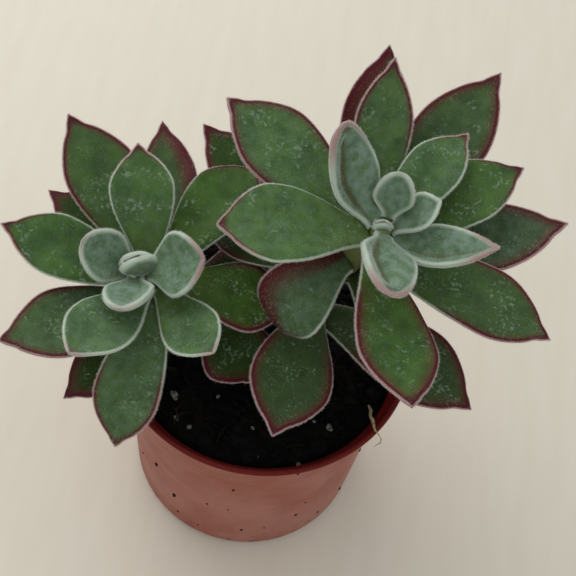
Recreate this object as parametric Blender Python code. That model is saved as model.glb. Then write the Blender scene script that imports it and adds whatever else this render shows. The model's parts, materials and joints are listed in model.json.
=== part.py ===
"""Potted echeveria: a plastic pot of soil with two leaning stems, each with a rosette of thick leaves."""
import math
from collections import namedtuple

import bpy
import numpy as np
from mathutils import Vector, noise

MM = 0.001

# Pot: thin plastic, round, a little wider at the top, with a flared collar, a rolled lip and drain holes
POT_HEIGHT = 76.0
POT_BASE_RADIUS = 35.6
POT_CORNER = 3.5
POT_WALL = 1.2
NECK_RADIUS = 38.4
NECK_Z = 66.5
COLLAR_STEP = 0.5
COLLAR_TOP_RADIUS = 40.9
COLLAR_TOP_Z = 72.2
COLLAR_WALL = 1.8
RIM_RADIUS = 42.5
LIP_THICKNESS = 1.5
POT_SIDES = 56
CORNER_STEPS = 4
LIP_STEPS = 5
DRAIN_HOLES = 6
DRAIN_RADIUS = 2.5
DRAIN_RING_RADIUS = 20.0
DRAIN_START_ANGLE = 10.0
DRAIN_SIDES = 12
CUTTER_MARGIN = 2.0

# Soil: fills the pot to a little below its lip, with two plain holes for the stems
SOIL_TOP = 71.5
SOIL_DOME = 1.0
SOIL_EDGE_DROP = 1.0
SOIL_SHARES = (0.95, 0.84, 0.72, 0.6, 0.48, 0.36, 0.24, 0.12)
SOIL_SIDES = 48
SOIL_LUMP = 0.7
SOIL_GRAIN = 5.0
SOIL_PLACE_IN_NOISE = 4.0
CLEARANCE = 0.3

# Stems: each stands upright in its hole and then leans out to its crown
STEM_RADIUS = 3.4
STEM_CROWN_RADIUS = 2.2
STEM_TAPER_SHARE = 0.4
STEM_DEPTH = 22.0
STEM_END_GAP = 1.0
STEM_STRAIGHT_DROP = 2.0
STEM_HOLE_ABOVE = 8.0
STEM_SIDES = 12
STEM_RINGS = 10
STEM_TOP = 3.0

# Buds: the closed youngest leaves, an egg shape on each stem's end with two tiny leaves fused to its foot
BUD_HEIGHTS = (0.0, 1.3, 3.3, 5.2, 6.4)
BUD_RADII = (1.7, 2.3, 3.9, 3.3, 1.3)
BUD_DEPTH = 0.72
BUD_LEAN = (0.4, -0.4, 1.0)
BUD_BLADES = 2
BUD_BLADE_AGE = -2
BUD_BLADE_LEVEL = 0.5
BUD_BLADE_LENGTH = 5.0
BUD_BLADE_WIDTH = 4.5
BUD_BLADE_RISE = 50
BUD_BLADE_TIP_RISE = 95
BUD_BLADE_SINK = 1.5

# Leaves: thick spoon-shaped blades, widest past the middle, that end in a short point. Young ones are plumper
# and blunter
GOLDEN_ANGLE = 137.5
LEAF_FOOT_WIDTH = 0.36
LEAF_PEAK = 0.62
PLUMP_PEAK_SHIFT = 0.2
LEAF_SPOON = 1.5
LEAF_POINT_FROM = 0.965
LEAF_STATIONS = 10
LEAF_STATION_POWER = 0.9
LEAF_SIDES = 10
LEAF_THICKNESS = 0.21
LEAF_ENDS_THICKNESS = 0.75
LEAF_TIP_THINNING = 0.6
PLUMP_THICKENING = 0.45
BLUNT_ROUNDING = 0.55
BLUNT_TIP_KEPT = 0.7
LEAF_EDGE_POWER = 0.75
LEAF_CUP = 0.2
LEAF_LEAST_HALF_WIDTH = 0.45
LEAF_LEAST_THICKNESS = 0.9
LEAF_FOOT_PUSH = 0.2

Leaf = namedtuple("Leaf", "age offset level rise tip_rise length width twist plump blunt", defaults=(0.0, 0.0))
Rosette = namedtuple("Rosette", "side foot bend crown heading bud leaves")

# Leaves of each rosette from the youngest to the oldest. Each age is a golden angle on from the last,
# give or take the leaf's offset, and missing ages are leaves that fell. The level is how far below the
# crown a leaf grows. Its slope runs from rise at the foot to tip_rise at the point. Degrees, millimetres.
# Plump and blunt run from 0 to 1: how swollen a leaf is, and how round its end is.
LEFT_LEAVES = (
    Leaf(0, -18, 2.2, 21, 40, 16.5, 13, 14, 1.0, 0.9),
    Leaf(1, 32.5, 2.9, 39, 46, 17.5, 14, -25, 0.4, 1.0),
    Leaf(2, -17, 4.5, 40, 45, 18.5, 17, 30, 0.5, 0.6),
    Leaf(3, 10.5, 6.0, 3, 28, 31.5, 18, 2, 0.1, 0.4),
    Leaf(4, 12, 5.8, 42, 34, 31.5, 17, -10),
    Leaf(5, -11, 9.6, 5, 40, 30.5, 15, 17, 0.0, 0.3),
    Leaf(6, -4, 8.2, 12, 22, 40.5, 17, -14),
    Leaf(7, 15, 10.2, 37, -11, 38.5, 18, 0),
    Leaf(8, -5, 11.4, 0, -65, 44, 17.5, 0),
    Leaf(9, 6.5, 12.5, 14, 30, 50.5, 20, -13),
    Leaf(10, 8, 13.0, -8, -15, 29.5, 20, 5),
    Leaf(11, -4.5, 14.5, 0, 5, 44.5, 20, -5),
    Leaf(12, 31.5, 17.5, 10, 9, 48.5, 15, 0),
    Leaf(14, -8, 18.5, 5, 10, 45, 17, 0),
    Leaf(15, 14, 19.0, -14, -10, 30, 16, 0),
    Leaf(16, -20.5, 21.5, -5, -20, 39, 17, 0),
    Leaf(18, -16, 27.0, -15, -15, 21, 20, 5),
)
RIGHT_LEAVES = (
    Leaf(-4, -14, 0.5, 60, 75, 13, 10.5, 0, 0.9, 1.0),
    Leaf(-1, -28, 2.2, 47, 45, 15, 10.5, 0, 0.0, 0.3),
    Leaf(0, 7.5, 2.0, 25, 22, 24.5, 15, -20, 1.0, 1.0),
    Leaf(1, 14.5, 3.0, 38, 82, 30, 14.5, -5, 1.0, 0.9),
    Leaf(2, -7, 4.0, 8, 45, 29.5, 12.5, 5, 1.0, 0.3),
    Leaf(3, -21.5, 5.8, 14, 5, 38, 22, -5, 0.0, 0.2),
    Leaf(4, -24.5, 6.0, 35, 15, 33, 15, 0, 0.1, 0.0),
    Leaf(5, -14.5, 7.5, -15, 22, 46, 21, -12, 0.0, 0.2),
    Leaf(6, -13.5, 9.0, 20, 18, 47.5, 22, -5),
    Leaf(7, 6.5, 10.0, 20, 14, 42, 18, 4),
    Leaf(9, -21, 13.2, 40, 36, 46.5, 15, 0),
    Leaf(10, 11.5, 13.5, 8, -18, 50.5, 19, 10),
    Leaf(11, 30, 17.5, 12, -88, 28, 20, -10, 0.0, 0.6),
    Leaf(12, -0.5, 15.7, 20, 31, 58, 21, 8),
    Leaf(14, -0.5, 24.0, -8, 24, 51.5, 20, -5),
    Leaf(15, 10, 18.8, 5, 20, 54, 20, 5),
    Leaf(17, -2.5, 20.5, 26, 32, 55.5, 19, 8),
    Leaf(18, 5, 22.0, -15, -45, 27, 17, 0),
    Leaf(19, -7, 28.5, 0, -6, 33, 13, 0),
    Leaf(21, 1.5, 41.0, 14, 0, 41.5, 22, -10),
    Leaf(23, -13.5, 43.0, 18, -15, 48.5, 22, 5),
)
ROSETTES = (
    Rosette("left", (-8, -2, 74), (-16, -2, 92), (-37, -4.5, 106), 287.5, 1.0, LEFT_LEAVES),
    Rosette("right", (8, 4, 74), (13, 9, 94), (25.5, 9, 127), 270, 0.5, RIGHT_LEAVES),
)

# Colours: young leaves are pale and frosted, and old ones dark green
POT_COLOUR = (0.235, 0.085, 0.06)
SOIL_COLOUR = (0.012, 0.01, 0.008)
STEM_COLOUR = (0.16, 0.15, 0.05)
YOUNG_COLOUR = (0.22, 0.32, 0.22)
OLD_COLOUR = (0.045, 0.095, 0.03)
GROWN_AGE = 6


def clear_scene():
    for obj in list(bpy.data.objects):
        bpy.data.objects.remove(obj, do_unlink=True)


def material(name, colour, roughness):
    made = bpy.data.materials.new(name)
    made.use_nodes = True
    shader = made.node_tree.nodes["Principled BSDF"]
    shader.inputs["Base Color"].default_value = (*colour, 1.0)
    shader.inputs["Roughness"].default_value = roughness
    shader.inputs["Metallic"].default_value = 0.0
    return made


def add_object(name, points, faces, finish):
    """A named object from points in millimetres, shaded smooth."""
    mesh = bpy.data.meshes.new(name)
    mesh.from_pydata([Vector(p) * MM for p in points], [], faces)
    mesh.materials.append(finish)
    mesh.shade_smooth()
    mesh.set_sharp_from_angle(angle=math.radians(50))
    obj = bpy.data.objects.new(name, mesh)
    bpy.context.scene.collection.objects.link(obj)
    return obj


def add_boolean(obj, helper, operation):
    """Cuts the helper from the object or fuses it on, and keeps the helper out of the render."""
    helper.hide_render = True
    helper.display_type = "WIRE"
    modifier = obj.modifiers.new(helper.name, "BOOLEAN")
    modifier.object = helper
    modifier.operation = operation


def ring_faces(rings, sides, capped=True):
    """Quads between rings of points that run anticlockwise about the way they advance."""
    faces = []
    for ring in range(rings - 1):
        for side in range(sides):
            after = (side + 1) % sides
            low, high = ring * sides, (ring + 1) * sides
            faces.append((low + side, low + after, high + after, high + side))
    if capped:
        faces.append(tuple(reversed(range(sides))))
        faces.append(tuple(range((rings - 1) * sides, rings * sides)))
    return faces


def revolved(profile, sides):
    """Points and faces of a profile of (radius, z) turned round Z, from the axis below to the axis above."""
    points = [(0.0, 0.0, profile[0][1])]
    for radius, z in profile[1:-1]:
        for side in range(sides):
            angle = math.tau * side / sides
            points.append((radius * math.cos(angle), radius * math.sin(angle), z))
    points.append((0.0, 0.0, profile[-1][1]))
    rings = len(profile) - 2
    faces = [tuple(i + 1 for i in face) for face in ring_faces(rings, sides, capped=False)]
    last = len(points) - 1
    for side in range(sides):
        after = (side + 1) % sides
        faces.append((0, 1 + after, 1 + side))
        faces.append((last, last - sides + side, last - sides + after))
    return points, faces


def rod(name, radius, low, high, place, sides, finish):
    """An upright round rod between two heights, to cut a hole with."""
    points, faces = revolved([(0, low), (radius, low), (radius, high), (0, high)], sides)
    return add_object(name, np.array(points) + (place[0], place[1], 0.0), faces, finish)


def arc(centre, radius, start, end, steps):
    """Points of an arc in the (radius, z) plane, angles in degrees."""
    angles = [math.radians(start + (end - start) * i / steps) for i in range(steps + 1)]
    return [(centre[0] + radius * math.cos(a), centre[1] + radius * math.sin(a)) for a in angles]


def pot_profile():
    """The pot's section, from the axis under its base, up the outside, over the lip and down the inside."""
    corner_centre = (POT_BASE_RADIUS - POT_CORNER, POT_CORNER)
    lip_centre = (RIM_RADIUS - LIP_THICKNESS / 2, POT_HEIGHT - LIP_THICKNESS / 2)
    outside = [
        (0.0, 0.0),
        *arc(corner_centre, POT_CORNER, -90, 0, CORNER_STEPS),
        (NECK_RADIUS, NECK_Z),
        (NECK_RADIUS + COLLAR_STEP, NECK_Z + COLLAR_STEP),
        (COLLAR_TOP_RADIUS, COLLAR_TOP_Z),
        *arc(lip_centre, LIP_THICKNESS / 2, -30, 180, LIP_STEPS),
    ]
    inside = [
        (COLLAR_TOP_RADIUS - COLLAR_WALL, COLLAR_TOP_Z),
        (NECK_RADIUS - POT_WALL, NECK_Z),
        *arc(corner_centre, POT_CORNER - POT_WALL, 0, -90, CORNER_STEPS),
        (0.0, POT_WALL),
    ]
    return outside + inside


def make_pot():
    finish = material("pot", POT_COLOUR, 0.5)
    pot = add_object("pot", *revolved(pot_profile(), POT_SIDES), finish)
    for hole in range(DRAIN_HOLES):
        angle = math.radians(DRAIN_START_ANGLE) + math.tau * hole / DRAIN_HOLES
        place = (DRAIN_RING_RADIUS * math.cos(angle), DRAIN_RING_RADIUS * math.sin(angle))
        name = f"drain_cutter_{hole}"
        cutter = rod(name, DRAIN_RADIUS, -CUTTER_MARGIN, POT_WALL + CUTTER_MARGIN, place, DRAIN_SIDES, finish)
        add_boolean(pot, cutter, "DIFFERENCE")


def soil_height(x, y):
    """The lumpy top of the soil, a little higher in the middle."""
    lumps = noise.fractal(Vector((x / SOIL_GRAIN, y / SOIL_GRAIN, SOIL_PLACE_IN_NOISE)), 1.0, 2.0, 2)
    dome = 1 - (math.hypot(x, y) / NECK_RADIUS) ** 2
    return SOIL_TOP + SOIL_DOME * max(dome, 0.0) + SOIL_LUMP * lumps


def make_soil():
    finish = material("soil", SOIL_COLOUR, 0.95)
    corner_centre = (POT_BASE_RADIUS - POT_CORNER, POT_CORNER)
    corner = arc(corner_centre, POT_CORNER - POT_WALL - CLEARANCE, -90, 0, CORNER_STEPS)
    neck = (NECK_RADIUS - POT_WALL - CLEARANCE, NECK_Z)
    edge_z = SOIL_TOP - SOIL_EDGE_DROP
    collar_slope = (COLLAR_TOP_RADIUS - COLLAR_WALL - NECK_RADIUS + POT_WALL) / (COLLAR_TOP_Z - NECK_Z)
    edge = (neck[0] + collar_slope * (edge_z - NECK_Z), edge_z)
    top = [(neck[0] * share, SOIL_TOP) for share in SOIL_SHARES]
    profile = [(0.0, POT_WALL + CLEARANCE), *corner, neck, edge, *top, (0.0, SOIL_TOP)]
    points, faces = revolved(profile, SOIL_SIDES)
    shaped = [(x, y, soil_height(x, y)) if z == SOIL_TOP else (x, y, z) for x, y, z in points]
    soil = add_object("soil", shaped, faces, finish)
    for rosette in ROSETTES:
        low, high = SOIL_TOP - STEM_DEPTH, SOIL_TOP + STEM_HOLE_ABOVE
        name = f"{rosette.side}_hole_cutter"
        cutter = rod(name, STEM_RADIUS + CLEARANCE, low, high, rosette.foot, STEM_SIDES, finish)
        add_boolean(soil, cutter, "DIFFERENCE")


def stem_line(rosette, steps=60):
    """Points along a stem from its crown down to the soil, a smooth bend."""
    foot, bend, crown = (np.array(p, float) for p in (rosette.foot, rosette.bend, rosette.crown))
    share = np.linspace(0, 1, steps)[:, None]
    return crown * (1 - share) ** 2 + 2 * bend * share * (1 - share) + foot * share**2


def stem_levels(line):
    """How far each point of a stem's line is below the crown, along the line."""
    return np.concatenate([[0.0], np.cumsum(np.linalg.norm(np.diff(line, axis=0), axis=1))])


def stem_place(rosette, level):
    """The stem's centre, its way down and its radius, at a distance down from the crown."""
    line = stem_line(rosette)
    levels = stem_levels(line)
    centre = np.array([np.interp(level, levels, line[:, axis]) for axis in range(3)])
    after = np.array([np.interp(level + 1.0, levels, line[:, axis]) for axis in range(3)])
    down = (after - centre) / np.linalg.norm(after - centre)
    share = min(level / levels[-1] / STEM_TAPER_SHARE, 1.0)
    return centre, down, STEM_CROWN_RADIUS + (STEM_RADIUS - STEM_CROWN_RADIUS) * share


def ring_across(centre, way, radius, depth=1.0):
    """A ring of points across a way, as deep in Y as depth times its radius."""
    side = np.cross((0.0, 1.0, 0.0), way)
    side /= np.linalg.norm(side)
    other = np.cross(way, side) * depth
    angles = [math.tau * i / STEM_SIDES for i in range(STEM_SIDES)]
    return np.array([centre + radius * (math.cos(a) * side + math.sin(a) * other) for a in angles])


def make_stem(rosette):
    rings = []
    length = stem_levels(stem_line(rosette))[-1]
    for level in np.linspace(STEM_TOP, length - STEM_END_GAP, STEM_RINGS):
        centre, down, radius = stem_place(rosette, level)
        rings.append(ring_across(centre, down, radius))
    straight_down = np.array((0.0, 0.0, -1.0))
    for drop in (STEM_STRAIGHT_DROP, STEM_DEPTH - STEM_END_GAP):
        centre = np.array((rosette.foot[0], rosette.foot[1], SOIL_TOP - drop))
        rings.append(ring_across(centre, straight_down, STEM_RADIUS))
    name = f"{rosette.side}_stem"
    finish = material(name, STEM_COLOUR, 0.7)
    add_object(name, np.concatenate(rings), ring_faces(len(rings), STEM_SIDES), finish)


def make_bud(rosette):
    """The closed bud on a stem's end, which bends upright from the stem's own line."""
    name = f"{rosette.side}_bud"
    finish = material(name, YOUNG_COLOUR, 0.6)
    foot, down, _ = stem_place(rosette, STEM_TOP - CLEARANCE)
    rings = []
    for height, radius, bend in zip(BUD_HEIGHTS, BUD_RADII, np.linspace(0, 1, len(BUD_RADII))):
        way = np.array(BUD_LEAN) * bend - down * (1 - bend)
        way /= np.linalg.norm(way)
        size = 1 + (rosette.bud - 1) * bend
        depth = 1 + (BUD_DEPTH - 1) * bend
        rings.append(ring_across(foot + way * height * rosette.bud, way, radius * size, depth))
    bud = add_object(name, np.concatenate(rings), ring_faces(len(rings), STEM_SIDES), finish)
    length, width = BUD_BLADE_LENGTH * rosette.bud, BUD_BLADE_WIDTH * rosette.bud
    for order in range(BUD_BLADES):
        age = BUD_BLADE_AGE - order
        tiny = Leaf(age, 0, BUD_BLADE_LEVEL, BUD_BLADE_RISE, BUD_BLADE_TIP_RISE, length, width, 0)
        points = leaf_points(rosette, tiny, -BUD_BLADE_SINK)
        blade = add_object(f"{name}_blade_{order}", points, ring_faces(LEAF_STATIONS + 1, LEAF_SIDES), finish)
        add_boolean(bud, blade, "UNION")


def leaf_width(leaf, share):
    """Half the blade's width at a share of its length, against its widest."""
    peak = LEAF_PEAK - PLUMP_PEAK_SHIFT * leaf.plump
    if share < peak:
        swell = math.sin(math.pi / 2 * share / peak) ** LEAF_SPOON
        return LEAF_FOOT_WIDTH + (1 - LEAF_FOOT_WIDTH) * swell
    narrow = math.cos(math.pi / 2 * (share - peak) / (1 - peak))
    return max(narrow, 0.0) ** (1 - BLUNT_ROUNDING * leaf.blunt)


def leaf_thickness(leaf, share):
    """The blade's thickness at a share of its length, against its width."""
    middle = math.sin(math.pi * share)
    thick = LEAF_ENDS_THICKNESS + (1 - LEAF_ENDS_THICKNESS) * middle + PLUMP_THICKENING * leaf.plump * middle
    return LEAF_THICKNESS * thick * (1 - LEAF_TIP_THINNING * (1 - BLUNT_TIP_KEPT * leaf.blunt) * share**3)


def leaf_section(leaf, share):
    """Points round the blade at a share of its length, as (across, up) in millimetres."""
    half = max(leaf.width / 2 * leaf_width(leaf, share), LEAF_LEAST_HALF_WIDTH)
    thick = max(leaf.width * leaf_thickness(leaf, share), LEAF_LEAST_THICKNESS)
    section = []
    for i in range(LEAF_SIDES):
        angle = math.tau * i / LEAF_SIDES
        across = half * math.cos(angle)
        bulge = math.copysign(abs(math.sin(angle)) ** LEAF_EDGE_POWER, math.sin(angle))
        section.append((across, thick / 2 * bulge + LEAF_CUP * across**2 / (leaf.width / 2)))
    return section


def leaf_points(rosette, leaf, gap=CLEARANCE):
    """Rings of points down a blade, from its foot beside the stem to its point."""
    heading = math.radians(rosette.heading - GOLDEN_ANGLE * leaf.age + leaf.offset)
    out = np.array((math.cos(heading), math.sin(heading), 0.0))
    left = np.array((-math.sin(heading), math.cos(heading), 0.0))
    upright = np.array((0.0, 0.0, 1.0))
    centre, down, radius = stem_place(rosette, leaf.level)
    outward = out - down * (out @ down)
    outward /= np.linalg.norm(outward)
    place = centre + outward * (radius + gap + LEAF_FOOT_PUSH * LEAF_THICKNESS * leaf.width)
    twist = math.radians(leaf.twist)
    shares = [LEAF_POINT_FROM * (i / (LEAF_STATIONS - 1)) ** LEAF_STATION_POWER for i in range(LEAF_STATIONS)]
    points = []
    last = 0.0
    for share in shares + [1.0]:
        slope = math.radians(leaf.rise + (leaf.tip_rise - leaf.rise) * (share + last) / 2)
        place = place + leaf.length * (share - last) * (math.cos(slope) * out + math.sin(slope) * upright)
        slope = math.radians(leaf.rise + (leaf.tip_rise - leaf.rise) * share)
        ahead = math.cos(slope) * out + math.sin(slope) * upright
        across = math.cos(twist) * left + math.sin(twist) * np.cross(ahead, left)
        up = np.cross(ahead, across)
        points += [place + x * across + z * up for x, z in leaf_section(leaf, share)]
        last = share
    return np.array(points)


def make_leaf(rosette, order, leaf):
    name = f"{rosette.side}_leaf_{order:02d}"
    grown = min(max(leaf.age, 0) / GROWN_AGE, 1.0)
    colour = [young + (old - young) * grown for young, old in zip(YOUNG_COLOUR, OLD_COLOUR)]
    faces = ring_faces(LEAF_STATIONS + 1, LEAF_SIDES)
    add_object(name, leaf_points(rosette, leaf), faces, material(name, colour, 0.6))


def main():
    clear_scene()
    make_pot()
    make_soil()
    for rosette in ROSETTES:
        make_stem(rosette)
        make_bud(rosette)
        for order, leaf in enumerate(rosette.leaves, start=1):
            make_leaf(rosette, order, leaf)


main()
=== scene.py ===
import json
import math
from collections import namedtuple

import bmesh
import bpy
import numpy as np
from mathutils import Matrix, Vector, noise


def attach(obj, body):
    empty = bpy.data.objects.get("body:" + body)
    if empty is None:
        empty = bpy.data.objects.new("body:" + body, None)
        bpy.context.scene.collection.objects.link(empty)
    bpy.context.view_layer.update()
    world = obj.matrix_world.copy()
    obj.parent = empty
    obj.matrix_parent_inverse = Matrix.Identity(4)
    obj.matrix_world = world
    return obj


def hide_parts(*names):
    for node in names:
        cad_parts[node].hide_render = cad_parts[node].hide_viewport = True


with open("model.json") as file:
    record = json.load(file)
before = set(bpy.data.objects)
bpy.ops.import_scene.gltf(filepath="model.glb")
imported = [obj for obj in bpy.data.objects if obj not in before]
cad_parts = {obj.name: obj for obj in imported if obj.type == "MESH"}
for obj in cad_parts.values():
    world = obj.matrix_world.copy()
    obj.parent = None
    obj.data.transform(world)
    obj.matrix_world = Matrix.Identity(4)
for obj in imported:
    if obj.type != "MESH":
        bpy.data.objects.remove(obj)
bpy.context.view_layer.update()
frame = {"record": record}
node_slot = {part["node"]: part["material_slot"] for part in frame["record"]["subparts"]}

# The pot. One moulded shell of thin terracotta-coloured plastic, round and a little wider at the top, with a
# flared collar and a rolled lip thin enough to let light through. Faint rings on its wall come from the mould,
# and its flat base has drain holes.
MM = 0.001
POT_HEIGHT = 76.0
POT_BASE_RADIUS = 35.6
POT_CORNER = 3.5
POT_WALL = 1.2
NECK_RADIUS = 38.4
NECK_Z = 66.5
COLLAR_STEP = 0.5
COLLAR_TOP_RADIUS = 40.9
COLLAR_TOP_Z = 72.2
COLLAR_WALL = 1.8
RIM_RADIUS = 42.5
LIP_THICKNESS = 1.5
POT_SIDES = 160
WALL_STEPS = 22
MOULD_RINGS = ((36.0, 0.12), (57.0, 0.09))
COLLAR_LEAN = (COLLAR_TOP_RADIUS - NECK_RADIUS) / (COLLAR_TOP_Z - NECK_Z)
COLLAR_MIDDLE = NECK_RADIUS - POT_WALL / 2 - COLLAR_LEAN * NECK_Z
DRAIN_HOLES = 6
DRAIN_RADIUS = 2.5
DRAIN_RING_RADIUS = 20.0
DRAIN_START_ANGLE = 10.0


def make_piece(name, points, faces, finish, slot, node=None):
    """A smooth piece of the plant from points in millimetres, riding on the one body."""
    mesh = bpy.data.meshes.new(name)
    mesh.from_pydata((np.asarray(points) * MM).tolist(), [], faces)
    mesh.materials.append(finish)
    mesh.shade_smooth()
    piece = bpy.data.objects.new(name, mesh)
    bpy.context.scene.collection.objects.link(piece)
    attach(piece, "root")
    if node:
        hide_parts(node)
    return piece


def mark(piece, name, values):
    """Stores a number for each point of a piece, which its material reads by name."""
    layer = piece.data.attributes.new(name, "FLOAT", "POINT")
    layer.data.foreach_set("value", np.asarray(values, np.float32))


def ring_faces(rings, sides, capped=True):
    """Quads between rings of points that run anticlockwise about the way they advance."""
    faces = []
    for ring in range(rings - 1):
        for side in range(sides):
            after = (side + 1) % sides
            low, high = ring * sides, (ring + 1) * sides
            faces.append((low + side, low + after, high + after, high + side))
    if capped:
        faces.append(tuple(reversed(range(sides))))
        faces.append(tuple(range((rings - 1) * sides, rings * sides)))
    return faces


def revolved(profile, sides):
    """Points and faces of a profile of (radius, z) turned round Z, from the axis below to the axis above."""
    angles = np.linspace(0, math.tau, sides, endpoint=False)
    points = [np.array([[0.0, 0.0, profile[0][1]]])]
    for radius, z in profile[1:-1]:
        points.append(np.stack([radius * np.cos(angles), radius * np.sin(angles), np.full(sides, z)], 1))
    points.append(np.array([[0.0, 0.0, profile[-1][1]]]))
    points = np.concatenate(points)
    faces = [tuple(i + 1 for i in face) for face in ring_faces(len(profile) - 2, sides, capped=False)]
    last = len(points) - 1
    for side in range(sides):
        after = (side + 1) % sides
        faces.append((0, 1 + after, 1 + side))
        faces.append((last, last - sides + side, last - sides + after))
    return points, faces


def arc(centre, radius, start, end, steps):
    """Points of an arc in the (radius, z) plane, angles in degrees."""
    angles = [math.radians(start + (end - start) * i / steps) for i in range(steps + 1)]
    return [(centre[0] + radius * math.cos(a), centre[1] + radius * math.sin(a)) for a in angles]


def wall_radius(z):
    """The pot's outer radius at a height below its collar, with its mould rings."""
    radius = POT_BASE_RADIUS + (NECK_RADIUS - POT_BASE_RADIUS) * (z - POT_CORNER) / (NECK_Z - POT_CORNER)
    for ring_z, depth in MOULD_RINGS:
        radius -= depth * math.exp(-((z - ring_z) / 0.5) ** 2)
    return radius


def feed(tree, socket, value):
    """Links a socket to another node's output, or sets its value."""
    if isinstance(value, bpy.types.NodeSocket):
        tree.links.new(value, socket)
    else:
        socket.default_value = value


def put(tree, kind, inputs, **settings):
    """A shader node with its settings made and its inputs fed."""
    made = tree.nodes.new("ShaderNode" + kind)
    for name, value in settings.items():
        setattr(made, name, value)
    for socket, value in inputs.items():
        feed(tree, made.inputs[socket], value)
    return made


def place_in(tree):
    """The point of the surface that is shaded, in metres."""
    return put(tree, "TexCoord", {}).outputs["Object"]


def grain(tree, place, size, detail=3.0, stretch=(1.0, 1.0, 1.0)):
    """Noise from 0 to 1 whose lumps are about a size in millimetres, stretched or squeezed along each axis."""
    scaled = put(tree, "VectorMath", {0: place, 1: tuple(1 / (size * MM * s) for s in stretch)}, operation="MULTIPLY")
    return put(tree, "TexNoise", {"Vector": scaled.outputs[0], "Scale": 1.0, "Detail": detail}).outputs[0]


def ramp(tree, value, low, high, top=1.0):
    """0 at low and top at high, smooth between them."""
    inputs = {"Value": value, "From Min": low, "From Max": high, "To Min": 0.0, "To Max": top}
    return put(tree, "MapRange", inputs, interpolation_type="SMOOTHSTEP").outputs[0]


def reckon(tree, operation, *values):
    """A sum of two numbers, such as ADD or MULTIPLY."""
    return put(tree, "Math", dict(enumerate(values)), operation=operation).outputs[0]


def layer(tree, mask, below, above):
    """One colour over another where a mask is 1."""
    colours = [(*c, 1.0) if isinstance(c, tuple) else c for c in (below, above)]
    made = put(tree, "Mix", {}, data_type="RGBA")
    for socket, value in zip((0, 6, 7), (mask, *colours)):
        feed(tree, made.inputs[socket], value)
    return made.outputs[2]


def bumped(tree, height, depth, strength=1.0):
    """A surface direction from a height of 0 to 1 that stands for a depth in millimetres."""
    return put(tree, "Bump", {"Height": height, "Distance": depth * MM, "Strength": strength}).outputs[0]


def new_finish(name, **constants):
    """A material, its node tree and its shader, whose plain values are set by name."""
    made = bpy.data.materials.new(name)
    made.use_nodes = True
    shader = made.node_tree.nodes["Principled BSDF"]
    for socket, value in constants.items():
        shader.inputs[socket.replace("_", " ")].default_value = value
    return made, made.node_tree, shader


def patches_group():
    """Soft patches: a mask of noise lumps of a size, cut off between two levels."""
    tree = bpy.data.node_groups.new("patches", "ShaderNodeTree")
    for socket, value in (("Size", 2.0), ("From", 0.5), ("To", 0.6)):
        tree.interface.new_socket(socket, in_out="INPUT", socket_type="NodeSocketFloat").default_value = value
    tree.interface.new_socket("Mask", in_out="OUTPUT", socket_type="NodeSocketFloat")
    inputs = tree.nodes.new("NodeGroupInput").outputs
    outputs = tree.nodes.new("NodeGroupOutput").inputs
    scale = reckon(tree, "DIVIDE", 1 / MM, inputs["Size"])
    lumps = put(tree, "TexNoise", {"Vector": place_in(tree), "Scale": scale, "Detail": 4.0}).outputs[0]
    limits = {"Value": lumps, "From Min": inputs["From"], "From Max": inputs["To"]}
    tree.links.new(put(tree, "MapRange", limits, interpolation_type="SMOOTHSTEP").outputs[0], outputs["Mask"])
    return tree


patches_tree = patches_group()


def patches(tree, size, low, high):
    """The patches effect placed in a material."""
    made = put(tree, "Group", {}, node_tree=patches_tree)
    for socket, value in (("Size", size), ("From", low), ("To", high)):
        made.inputs[socket].default_value = value
    return made.outputs["Mask"]


def pot_profile():
    """The pot's section, from the axis under its base, up the outside, over the lip and down the inside."""
    corner_centre = (POT_BASE_RADIUS - POT_CORNER, POT_CORNER)
    lip_centre = (RIM_RADIUS - LIP_THICKNESS / 2, POT_HEIGHT - LIP_THICKNESS / 2)
    heights = sorted([*np.linspace(POT_CORNER + 2, NECK_Z - 2, WALL_STEPS)]
                     + [z + shift for z, _ in MOULD_RINGS for shift in (-0.8, -0.4, 0.0, 0.4, 0.8)])
    outside = [
        (0.0, 0.0), (POT_BASE_RADIUS - POT_CORNER - 3.0, 0.0),
        *arc(corner_centre, POT_CORNER, -90, 0, 9),
        *[(wall_radius(z), z) for z in heights],
        (NECK_RADIUS, NECK_Z), (NECK_RADIUS + 0.35, NECK_Z + 0.15),
        (NECK_RADIUS + COLLAR_STEP, NECK_Z + COLLAR_STEP),
        (COLLAR_TOP_RADIUS - 0.9, COLLAR_TOP_Z - 2.0), (COLLAR_TOP_RADIUS, COLLAR_TOP_Z),
        *arc(lip_centre, LIP_THICKNESS / 2, -30, 180, 12),
    ]
    inside = [
        (COLLAR_TOP_RADIUS - COLLAR_WALL, COLLAR_TOP_Z), (NECK_RADIUS - POT_WALL, NECK_Z),
        (POT_BASE_RADIUS - POT_WALL, POT_CORNER + 1.0),
        *arc(corner_centre, POT_CORNER - POT_WALL, 0, -90, 6),
        (0.0, POT_WALL),
    ]
    return outside + inside


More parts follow.
